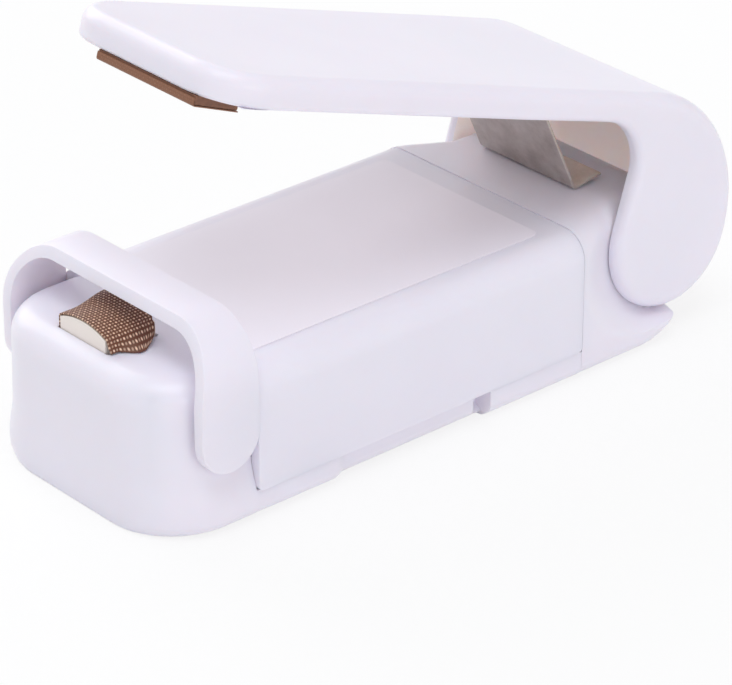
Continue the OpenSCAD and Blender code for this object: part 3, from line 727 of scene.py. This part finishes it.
def narrow_forward(bm):
    slice_at(bm, ALONG, [RIM_X])
    for vert in bm.verts:
        if vert.co.x < RIM_X:
            less = LEVER_DRAFT * (RIM_X - vert.co.x)
            vert.co.y -= math.copysign(less, vert.co.y)


def lever_outside():
    bm = bmesh.new()
    first = bm.verts.new((-LEVER_REACH, -LEVER_HALF, LEVER_TOP))
    tip = run_to(bm, first, (BACK_X, -LEVER_HALF, LEVER_TOP))
    tip = turn_about(bm, tip, (BACK_X, -LEVER_HALF, 0), (0, 1, 0), 90, 20)
    tip = turn_about(bm, tip, (0, -LEVER_HALF, 0), (0, 1, 0), 180, 32)
    tip = run_to(bm, tip, (-EAR_R, -LEVER_HALF, RIM_LOW - FILLET_R))
    tip = turn_about(bm, tip, (RIM_X, -LEVER_HALF, RIM_LOW - FILLET_R), (0, 1, 0), -90, 12)
    tip = run_to(bm, tip, (-LEVER_REACH, -LEVER_HALF, RIM_LOW))
    fill_outline(bm, first, tip)
    thicken_outline(bm, (0, 2 * LEVER_HALF, 0))
    narrow_forward(bm)
    slice_at(bm, ALONG, [RIM_X - 2 * i for i in range(1, 9)])
    front = [e for e in edges_at(bm, lambda p: p.x < 0.1 - LEVER_REACH) if runs_along(e, UP)]
    round_edges(bm, front, FRONT_ROUND, 14)
    weight_edges(bm)
    return to_object(bm, "lever_cap")


def weight_edges(bm):
    """How much of the full rounding each sharp edge of the lever gets: less along the rims than on top."""
    weight = bm.edges.layers.float.new("bevel_weight_edge")
    for edge in bm.edges:
        if len(edge.link_faces) != 2 or edge.calc_face_angle(0) < math.radians(40):
            continue
        middle = (edge.verts[0].co + edge.verts[1].co) / 2
        if middle.x < 0.2 - EAR_R and 0 < middle.z < LEVER_TOP - 2:
            taper = 0.3 + 0.5 * smoothstep(RIM_X - 16, RIM_X, middle.x)
            edge[weight] = taper if middle.x < RIM_X else CORNER_SHARE
        else:
            edge[weight] = 1 - 0.2 * smoothstep(0, EAR_R, -middle.x) * (middle.z < 0)


def lever_hollow():
    bm = bmesh.new()
    half = HOLLOW_HALF
    first = bm.verts.new((HOLLOW_START, -half, CEILING))
    tip = run_to(bm, first, (BACK_X, -half, CEILING))
    tip = turn_about(bm, tip, (BACK_X, -half, 0), (0, 1, 0), 90, 20)
    for x, z in (
        (HOLLOW_END, HOLLOW_LOW), (14, HOLLOW_LOW), (14, -14), (-24, -14), (-24, 11), (HOLLOW_START, 11),
    ):
        tip = run_to(bm, tip, (x, -half, z))
    fill_outline(bm, first, tip)
    thicken_outline(bm, (0, 2 * half, 0))
    narrow_forward(bm)
    slice_at(bm, UP, [HOLLOW_LOW])
    return to_object(bm, "lever_hollow")


def in_hollow(middle, normal):
    if abs(middle.y) > HOLLOW_HALF + NEAR or middle.z < HOLLOW_LOW:
        return False
    on_wall = abs(normal.y) > 0.9
    on_back = math.hypot(middle.x - BACK_X, middle.z) < CEILING + 0.1
    on_ceiling = middle.x < BACK_X and abs(middle.z - CEILING) < 0.05
    return on_wall or on_back or on_ceiling


def make_lever():
    lever = lever_outside()
    step = lever.modifiers.new("soft edges", "BEVEL")
    step.width = LEVER_EDGE
    step.segments = 6
    step.limit_method = "WEIGHT"
    step.profile = 0.5
    step.use_clamp_overlap = False
    apply_modifiers(lever)
    combine(lever, lever_hollow(), "DIFFERENCE")
    inside = lever.data.polygons
    hollow = [f.index for f in inside if in_hollow(f.center, f.normal)]
    finish_piece(lever, LEVER, gloss_white)
    # Painted light: the faces inside the hollow take the paler, warmer copy of the white, as a painted
    # glow inside the lever.
    lever.data.materials.append(painted_glow_white)
    for index in hollow:
        inside[index].material_index = 1
    even_shading(lever)
    stand_for(lever, "lever", "white_shell", "lever_shell")


# Press pad and the tape folded round it

TAPE_DROOP = math.radians(4.5)
TAPE_THICK = 0.14
PAD_HALF = 8.75
PAD_THICK = 1.05


def make_pad():
    bm = bmesh.new()
    x0, x1 = 0.2 - LEVER_REACH, 6.9 - LEVER_REACH
    add_box(bm, x0, x1, PAD_Y - PAD_HALF, PAD_Y + PAD_HALF, RIM_LOW - PAD_THICK, RIM_LOW)
    for vert in bm.verts:
        if vert.co.z < RIM_LOW - 1:
            vert.co.z -= (vert.co.x + LEVER_REACH) * math.tan(TAPE_DROOP)
    round_edges(bm, edges_at(bm, lambda p: p.z < RIM_LOW - 1), 0.15, 3)
    pad = to_object(bm, "pad_strip")
    finish_piece(pad, LEVER, pad_rubber)
    stand_for(pad, "lever", "pad_rubber", "press_pad")


def lay_weave(bm, across):
    """Gives a sheet swept from one chain its own coordinates, along the chain and across it."""
    layer = bm.loops.layers.uv.new("weave")
    a, b = [axis for axis in range(3) if axis != across]
    start = min(v.co[across] for v in bm.verts)
    chain = [v for v in bm.verts if abs(v.co[across] - start) < 1e-4]
    beside = {v: [e.other_vert(v) for e in v.link_edges if e.other_vert(v) in chain] for v in chain}
    vert = next(v for v in chain if len(beside[v]) == 1)
    stations, before, seen = [], None, 0.0
    while vert is not None:
        stations.append((vert.co[a], vert.co[b], seen))
        after = next((v for v in beside[vert] if v != before), None)
        if after is not None:
            seen += (after.co - vert.co).length
        before, vert = vert, after
    for face in bm.faces:
        for loop in face.loops:
            place = loop.vert.co
            near = min(stations, key=lambda s: abs(s[0] - place[a]) + abs(s[1] - place[b]))
            loop[layer].uv = (near[2] / UV_SPAN, place[across] / UV_SPAN)


def make_tape():
    bm = bmesh.new()
    near = PAD_Y - PAD_HALF
    low = RIM_LOW - 1.18
    front = 0.08 - LEVER_REACH
    first = bm.verts.new((front, near, RIM_LOW - 0.22))
    fold = run_to(bm, first, (front, near, low))
    tip = fold
    for reach in (1.8, 3.6, 5.4, 7.0):
        fall = reach * math.tan(TAPE_DROOP)
        tip = run_to(bm, tip, (front + reach, near, low - fall))
    round_corners(bm, [fold], 0.25, 4)
    sweep_chain(bm, (0, 2 * PAD_HALF, 0), 12)
    lay_weave(bm, ACROSS)
    tape = sheet_object(bm, "pad_tape_strip")
    give_wall(tape, TAPE_THICK, 0)
    finish_piece(tape, LEVER, pad_tape)
    stand_for(tape, "lever", "tape_brown", "press_pad_film")


# Leaf spring between the lever and the rear block, with its rivets

LEAF_TOP = (58.191, 38.8303)
LEAF_BEND = (66.2704, 36.1896)
LEAF_CREASE = (73.6, 20.25)
LEAF_FOOT = (78.1495, 20.9299)
LEAF_HALF = 8.5
LEAF_THICK = 0.38
RIVET_X = -27.55
RIVET_Y = 4.5


def make_leaf():
    bm = bmesh.new()
    points = [LEAF_TOP, LEAF_BEND, LEAF_CREASE, LEAF_FOOT]
    tip = bm.verts.new((LEAF_TOP[0], -LEAF_HALF, LEAF_TOP[1]))
    bends = []
    for (x0, z0), (x1, z1) in zip(points, points[1:]):
        for part in range(1, 9):
            share = part / 8
            tip = run_to(bm, tip, (x0 + (x1 - x0) * share, -LEAF_HALF, z0 + (z1 - z0) * share))
        bends.append(tip)
    round_corners(bm, bends[:1], 0.9, 5)
    round_corners(bm, bends[1:2], 0.45, 4)
    sweep_chain(bm, (0, 2 * LEAF_HALF, 0), 8)
    leaf = sheet_object(bm, "leaf_strip")
    give_wall(leaf, LEAF_THICK, 0)
    soften(leaf, 0.08, 2, 60)
    finish_piece(leaf, BENCH, leaf_steel)
    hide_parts("leaf_spring")
    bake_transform(leaf)


def turned(bm, profile, centre, axis, steps):
    """Spins a profile of points once round an axis."""
    tip = bm.verts.new(profile[0])
    for point in profile[1:]:
        tip = run_to(bm, tip, point)
    bmesh.ops.spin(
        bm, geom=bm.verts[:] + bm.edges[:], cent=centre, axis=axis, angle=2 * math.pi, steps=steps,
        use_merge=True, use_normal_flip=False, use_duplicate=False,
    )
    bmesh.ops.remove_doubles(bm, verts=bm.verts[:], dist=1e-4)


def merge_into(bm, part):
    spare = bpy.data.meshes.new("spare")
    part.to_mesh(spare)
    part.free()
    bm.from_mesh(spare)
    bpy.data.meshes.remove(spare)


def make_rivets():
    bm = bmesh.new()
    x = RIVET_X
    top = CEILING - 0.42
    for side in (-1, 1):
        part = bmesh.new()
        y = side * RIVET_Y
        turned(part, [
            (x, y, top - 0.5), (x + 0.8, y, top - 0.44), (x + 1.3, y, top - 0.3), (x + 1.6, y, top),
            (x + 0.9, y, top), (x + 0.9, y, top + 1.4), (x, y, top + 1.4),
        ], (x, y, 0), (0, 0, 1), 32)
        merge_into(bm, part)
    rivets = to_object(bm, "rivet_pair")
    finish_piece(rivets, LEVER, turned_steel)
    stand_for(rivets, "lever", "fastener_steel", "spring_rivets")


# Guard: a bent strap with round lower ends

GUARD_X = 9.14
GUARD_Z = 12.6
GUARD_TOP = 26.3
GUARD_HALF = 18.868
GUARD_REACH = 4.25
GUARD_KNEE = 7.35
GUARD_WALL = 1.5
GUARD_BAR = 1.45
GUARD_ROUND = 7.5


def rounded_tunnel(x0, x1, half, low, high, radius, name):
    bm = bmesh.new()
    add_box(bm, x0, x1, -half, half, low, high)
    long_top = [e for e in edges_at(bm, lambda p: p.z > high - 1) if runs_along(e, ALONG)]
    round_edges(bm, long_top, radius, 16)
    return to_object(bm, name)


def guard_outline():
    bm = bmesh.new()
    front, back = GUARD_X - GUARD_REACH, GUARD_X + GUARD_REACH
    side = GUARD_HALF + 2
    knee_z = GUARD_Z + GUARD_KNEE
    first = bm.verts.new((back, -side, GUARD_Z))
    tip = turn_about(bm, first, (GUARD_X, -side, GUARD_Z), (0, 1, 0), 180, 24)
    knee = run_to(bm, tip, (front, -side, knee_z))
    lip = run_to(bm, knee, (front + 3, -side, GUARD_TOP + 0.5))
    rear = run_to(bm, lip, (back, -side, GUARD_TOP + 0.5))
    fill_outline(bm, first, rear)
    thicken_outline(bm, (0, 2 * side, 0))
    at_knee = edges_at(bm, lambda p: abs(p.z - knee_z) < NEAR and p.x < GUARD_X)
    round_edges(bm, [e for e in at_knee if runs_along(e, ACROSS)], 3, 6)
    return to_object(bm, "guard_outline")


def make_guard():
    x0, x1 = GUARD_X - 9, GUARD_X + 9
    guard = rounded_tunnel(x0, x1, GUARD_HALF, 2, GUARD_TOP, GUARD_ROUND, "guard_bow")
    room_half, room_top = GUARD_HALF - GUARD_WALL, GUARD_TOP - GUARD_BAR
    room_round = GUARD_ROUND - GUARD_WALL
    inside = rounded_tunnel(x0 - 1, x1 + 1, room_half, 0, room_top, room_round, "guard_inside")
    combine(guard, inside, "DIFFERENCE")
    combine(guard, guard_outline(), "INTERSECT")
    soften(guard, 0.6, 4)
    finish_piece(guard, BENCH, gloss_white)
    stand_for(guard, "guard", "white_shell", "guard_strap")


# Glass cloth over the heater, loose on the near side

CROWN_R = 10.485
CROWN_Z = 11.615
HEAD_HALF = 4.25
CLOTH_START, CLOTH_END = 3.36, 10.64
CLOTH_GROW = 0.25
CLOTH_THICK = 0.18


def make_cloth():
    bm = bmesh.new()
    side = HEAD_HALF + CLOTH_GROW
    x0, x1 = CLOTH_START, CLOTH_END
    near_low, far_low = 19.82, 19.2
    spread = math.asin(side / (CROWN_R + CLOTH_GROW))
    edge_z = CROWN_Z + (CROWN_R + CLOTH_GROW) * math.cos(spread)
    tip = bm.verts.new((x0, HEATER_Y - side, near_low))
    for part in range(1, 11):
        tip = run_to(bm, tip, (x0, HEATER_Y - side, near_low + (edge_z - near_low) * part / 10))
    corner = tip
    tip = turn_about(bm, tip, (x0, HEATER_Y, CROWN_Z), (1, 0, 0), -2 * math.degrees(spread), 24)
    far = tip
    for part in range(1, 7):
        tip = run_to(bm, tip, (x0, HEATER_Y + side, edge_z + (far_low - edge_z) * part / 6))
    round_corners(bm, [corner, far], 0.35, 4)
    sweep_chain(bm, (x1 - x0, 0, 0), 28)
    lay_weave(bm, ALONG)
    for vert in bm.verts:
        x, y, z = vert.co
        along = (x - x0) / (x1 - x0)
        if y < HEATER_Y - side + 0.4:
            fall = min(max((edge_z - z) / (edge_z - near_low), 0.0), 1.0)
            reach = 0.75 + 1.8 * smoothstep(0.1, 0.55, along) - 0.5 * smoothstep(0.55, 1.0, along)
            vert.co.y -= reach * fall ** 1.4
            vert.co.x -= along * along * (0.3 + 1.4 * fall ** 1.5 + 1.1 * fall ** 4)
            vert.co.z += 0.06 * fall * math.sin(14 * along)
        crest = smoothstep(HEATER_Y - 1, HEATER_Y + side, y) * smoothstep(0.25, 1.0, along)
        vert.co.z += 0.9 * crest * smoothstep(20.2, 21.3, z)
        vert.co.x -= 0.45 * crest
    cloth = sheet_object(bm, "heater_cloth_sheet")
    give_wall(cloth, CLOTH_THICK, 0)
    finish_piece(cloth, BENCH, heater_cloth, 50)
    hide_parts("heater_fabric")
    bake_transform(cloth)


# Coil springs and cells inside

PLUNGER_X = 4.85
PLUNGER_Y = 5.95
PLUNGER_LOW = 9.0
PLUNGER_HIGH = 15.55
CONE_HIGH = 1.76
CELL_LONG = 50.5
TO_REAR = Matrix.Rotation(math.pi / 2, 4, "Y")
TO_FRONT = Matrix.Rotation(-math.pi / 2, 4, "Y")


def coil_part(radius, height, turns, wire):
    part = bmesh.new()
    ring = bmesh.ops.create_circle(part, cap_ends=False, segments=10, radius=wire / 2)["verts"]
    bmesh.ops.rotate(part, cent=(0, 0, 0), matrix=SIDEWAYS, verts=ring)
    bmesh.ops.translate(part, vec=(radius, 0, wire / 2), verts=ring)
    steps = turns * 28
    bmesh.ops.spin(
        part, geom=part.verts[:] + part.edges[:], cent=(0, 0, 0), dvec=(0, 0, (height - wire) / steps),
        axis=(0, 0, 1), angle=2 * math.pi * turns, steps=steps,
        use_merge=False, use_normal_flip=False, use_duplicate=False,
    )
    bmesh.ops.remove_doubles(part, verts=part.verts[:], dist=1e-5)
    close_holes(part)
    bmesh.ops.recalc_face_normals(part, faces=part.faces[:])
    return part


def make_plungers():
    bm = bmesh.new()
    height = PLUNGER_HIGH - PLUNGER_LOW
    for side in (-1, 1):
        part = coil_part(1.25, height - 0.04, 6, 0.38)
        foot = (PLUNGER_X, HEATER_Y + side * PLUNGER_Y, PLUNGER_LOW + 0.02)
        bmesh.ops.translate(part, vec=foot, verts=part.verts[:])
        merge_into(bm, part)
    springs = to_object(bm, "plunger_coils")
    finish_piece(springs, BENCH, spring_wire, 60)
    stand_for(springs, "body", "spring_steel", "plunger_springs")
    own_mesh(springs)


def make_contact_spring(name, node, place):
    bm = coil_part(3.2, CONE_HIGH, 2, 0.48)
    for vert in bm.verts:
        closer = 1 - 0.53 * vert.co.z / CONE_HIGH
        vert.co.x *= closer
        vert.co.y *= closer
    spring = to_object(bm, name)
    finish_piece(spring, BENCH @ place, spring_wire, 60)
    stand_for(spring, "body", "spring_steel", node)


def make_cell(name, node, place):
    bm = bmesh.new()
    turned(bm, [
        (0.25, 0, 0), (0.25, 0, 4.2), (0, 0, 4.6), (0, 0, 6.3), (0.2, 0, 7.0), (0.6, 0, 7.22),
        (48.6, 0, 7.22), (49.2, 0, 7.0), (49.4, 0, 6.3), (49.1, 0, 5.8), (49.1, 0, 3.4),
        (49.5, 0, 2.75), (50.2, 0, 2.7), (50.46, 0, 2.3), (50.46, 0, 0),
    ], (0, 0, 0), (1, 0, 0), 48)
    cell = to_object(bm, name)
    finish_piece(cell, BENCH @ place, cell_sleeve, 40)
    stand_for(cell, "body", "cell_wrap", node)


make_housing()
make_cover()
make_label()
make_lever()
make_pad()
make_tape()
make_leaf()
make_rivets()
make_guard()
make_cloth()
make_plungers()
make_contact_spring(
    "front_contact_coil", "front_contact_spring",
    Matrix.Translation((NOSE_END + 0.02, -CELL_Y, CELL_Z)) @ TO_REAR,
)
make_contact_spring(
    "rear_contact_coil", "rear_contact_spring",
    Matrix.Translation((BAY_END - 0.02, CELL_Y, CELL_Z)) @ TO_FRONT,
)
make_cell(
    "cell_left_can", "cell_left",
    Matrix.Translation((NOSE_END + CELL_LONG, CELL_Y, CELL_Z)) @ Matrix.Rotation(math.pi, 4, "Z"),
)
make_cell("cell_right_can", "cell_right", Matrix.Translation((NOSE_END + 1.8, -CELL_Y, CELL_Z)))


# Finishes of the solids that stay as they are

for name, finish in {
    "bottom_plate": satin_white,
    "bottom_screws": turned_steel,
    "hinge_pins": turned_steel,
    "guard_pins": turned_steel,
    "front_contact_positive": stamped_brass,
    "front_contact_negative": stamped_brass,
    "rear_bridge_contact": stamped_brass,
    "terminal_clips": stamped_brass,
    "heater_block": heater_cream,
    "heater_ribbon": ribbon_alloy,
}.items():
    for place in nodes[name].material_slots:
        place.material = finish


# Floor, light and camera, in metres

SKY_LEVEL = 0.56
FLOOR_GLOW = 0.8
LAMP_AIM = Vector((0, 0, 0.02))
CAMERA_PLACE = (-0.28380, -0.32150, 0.23255)
CAMERA_TURN = math.radians(-41.375)
CAMERA_RISE = math.radians(28.009)
CAMERA_LENS = 191.93


def make_stage():
    bm = bmesh.new()
    bmesh.ops.create_grid(bm, x_segments=1, y_segments=1, size=4)
    floor = to_object(bm, "floor")
    made = Finish("floor_pale")
    made.set(Base_Color=(0.93, 0.93, 0.93, 1), Roughness=0.9, Specular_IOR_Level=0.0)
    glow = made.node("ShaderNodeEmission")
    glow.inputs["Color"].default_value = (1, 1, 1, 1)
    glow.inputs["Strength"].default_value = 1.0
    path = made.node("ShaderNodeLightPath")
    seen = path.outputs["Is Camera Ray"]
    for ray in ("Is Glossy Ray", "Is Transmission Ray"):
        both = made.node("ShaderNodeMath", operation="MAXIMUM")
        made.link(seen, both.inputs[0])
        made.link(path.outputs[ray], both.inputs[1])
        seen = both.outputs["Value"]
    share = made.node("ShaderNodeMath", operation="MULTIPLY")
    share.inputs[1].default_value = FLOOR_GLOW
    made.link(seen, share.inputs[0])
    blend = made.node("ShaderNodeMixShader")
    made.link(share.outputs["Value"], blend.inputs["Fac"])
    made.link(made.shader.outputs["BSDF"], blend.inputs[1])
    made.link(glow.outputs["Emission"], blend.inputs[2])
    made.link(blend.outputs["Shader"], made.tree.nodes["Material Output"].inputs["Surface"])
    floor.data.materials.append(made.material)


def add_lamp(name, place, size, power, tint):
    lamp = bpy.data.lights.new(name, "AREA")
    lamp.shape = "SQUARE"
    lamp.size = size
    lamp.energy = power
    lamp.color = tint
    stand = bpy.data.objects.new(name, lamp)
    bpy.context.scene.collection.objects.link(stand)
    stand.location = place
    stand.rotation_euler = (LAMP_AIM - Vector(place)).to_track_quat("-Z", "Y").to_euler()


def make_light():
    world = bpy.data.worlds.new("studio")
    bpy.context.scene.world = world
    world.use_nodes = True
    sky = world.node_tree.nodes["Background"]
    sky.inputs["Color"].default_value = (1, 1, 1, 1)
    sky.inputs["Strength"].default_value = SKY_LEVEL
    add_lamp("key", (-0.3, -0.25, 1.8), size=1.2, power=12.2, tint=(0.90, 0.94, 1.0))
    add_lamp("front", (-0.2, -1.76, 0.42), size=0.9, power=4.6, tint=(1.0, 0.96, 0.985))
    add_lamp("back", (0.2, 1.6, 0.85), size=1.4, power=12.4, tint=(1.0, 0.985, 0.98))


def make_camera():
    level = math.cos(CAMERA_RISE)
    back = Vector((math.sin(CAMERA_TURN) * level, -math.cos(CAMERA_TURN) * level, math.sin(CAMERA_RISE)))
    lens = bpy.data.cameras.new("camera")
    lens.lens = CAMERA_LENS
    lens.sensor_width = 36
    lens.sensor_fit = "HORIZONTAL"
    lens.clip_start = 0.01
    stand = bpy.data.objects.new("camera", lens)
    bpy.context.scene.collection.objects.link(stand)
    stand.location = CAMERA_PLACE
    stand.rotation_euler = (-back).to_track_quat("-Z", "Y").to_euler()
    bpy.context.scene.camera = stand


make_stage()
make_light()
make_camera()
bpy.context.scene.view_settings.view_transform = "Standard"
